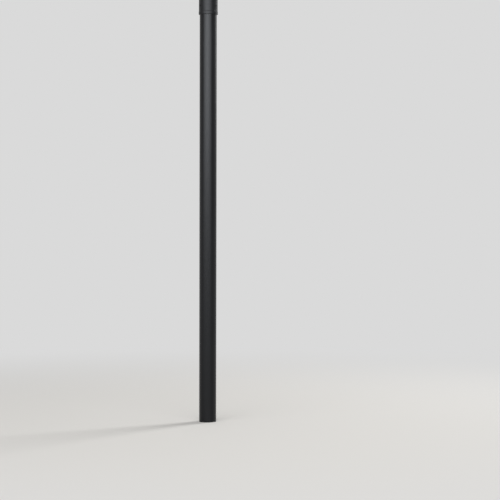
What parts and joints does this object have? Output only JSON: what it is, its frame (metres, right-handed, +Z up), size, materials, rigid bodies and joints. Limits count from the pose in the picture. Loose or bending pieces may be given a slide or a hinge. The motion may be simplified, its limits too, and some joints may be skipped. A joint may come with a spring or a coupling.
{
  "type": "lamp post",
  "caption": "Garden lamp post: a round steel post rising from the ground, a fitter slipped over its top and a four-sided glass lantern with a bell-cast roof.",
  "frame": {"origin": "on the post's axis at ground level, in the middle of the post's foot", "axes": "+Z up along the post; -Y is the front, the side the picture is taken from; +X is to the right"},
  "size_m": [0.236, 0.236, 2.3527],
  "materials": {
    "post": "satin black powder coat, fine texture",
    "casting": "satin black powder coat over cast aluminium",
    "screw": "black oxide",
    "zinc": "bright zinc plate",
    "cup": "satin black powder coat",
    "pane": "clear float glass",
    "sleeve": "ivory candle sleeve",
    "holder": "black moulded lamp holder",
    "bulb_cap": "nickel-plated screw cap",
    "bulb": "clear bulb glass",
    "filament": "yellow phosphor"
  },
  "bodies": {
    "root": {"post_tube": "post", "fitter": "casting", "set_screw_back": "screw", "set_screw_front_left": "screw", "set_screw_front_right": "screw", "pan": "casting", "pan_screw_back": "zinc", "pan_screw_left": "zinc", "pan_screw_right": "zinc", "cage_screw_front_left": "screw", "cage_screw_front_right": "screw", "cage_screw_back_right": "screw", "cage_screw_back_left": "screw", "bottom_rail": "casting", "corner_bar_front_left": "casting", "corner_bar_front_right": "casting", "corner_bar_back_right": "casting", "corner_bar_back_left": "casting", "glass_front": "pane", "glass_right": "pane", "glass_back": "pane", "glass_left": "pane", "head_rail": "casting", "bridge": "zinc", "bridge_screw_left": "zinc", "bridge_screw_right": "zinc", "roof": "casting", "vent_box": "casting", "vent_cap": "casting", "finial": "casting", "tie_rod": "zinc", "tie_rod_nut": "zinc", "nipple": "zinc", "nipple_nut_under_pan": "zinc", "nipple_nut_on_pan": "zinc", "drip_cup": "cup", "candle_sleeve": "sleeve", "lamp_socket": "holder", "bulb_cap": "bulb_cap", "bulb_glass": "bulb", "bulb_stem": "bulb", "bulb_filaments": "filament"}
  },
  "joints": []
}
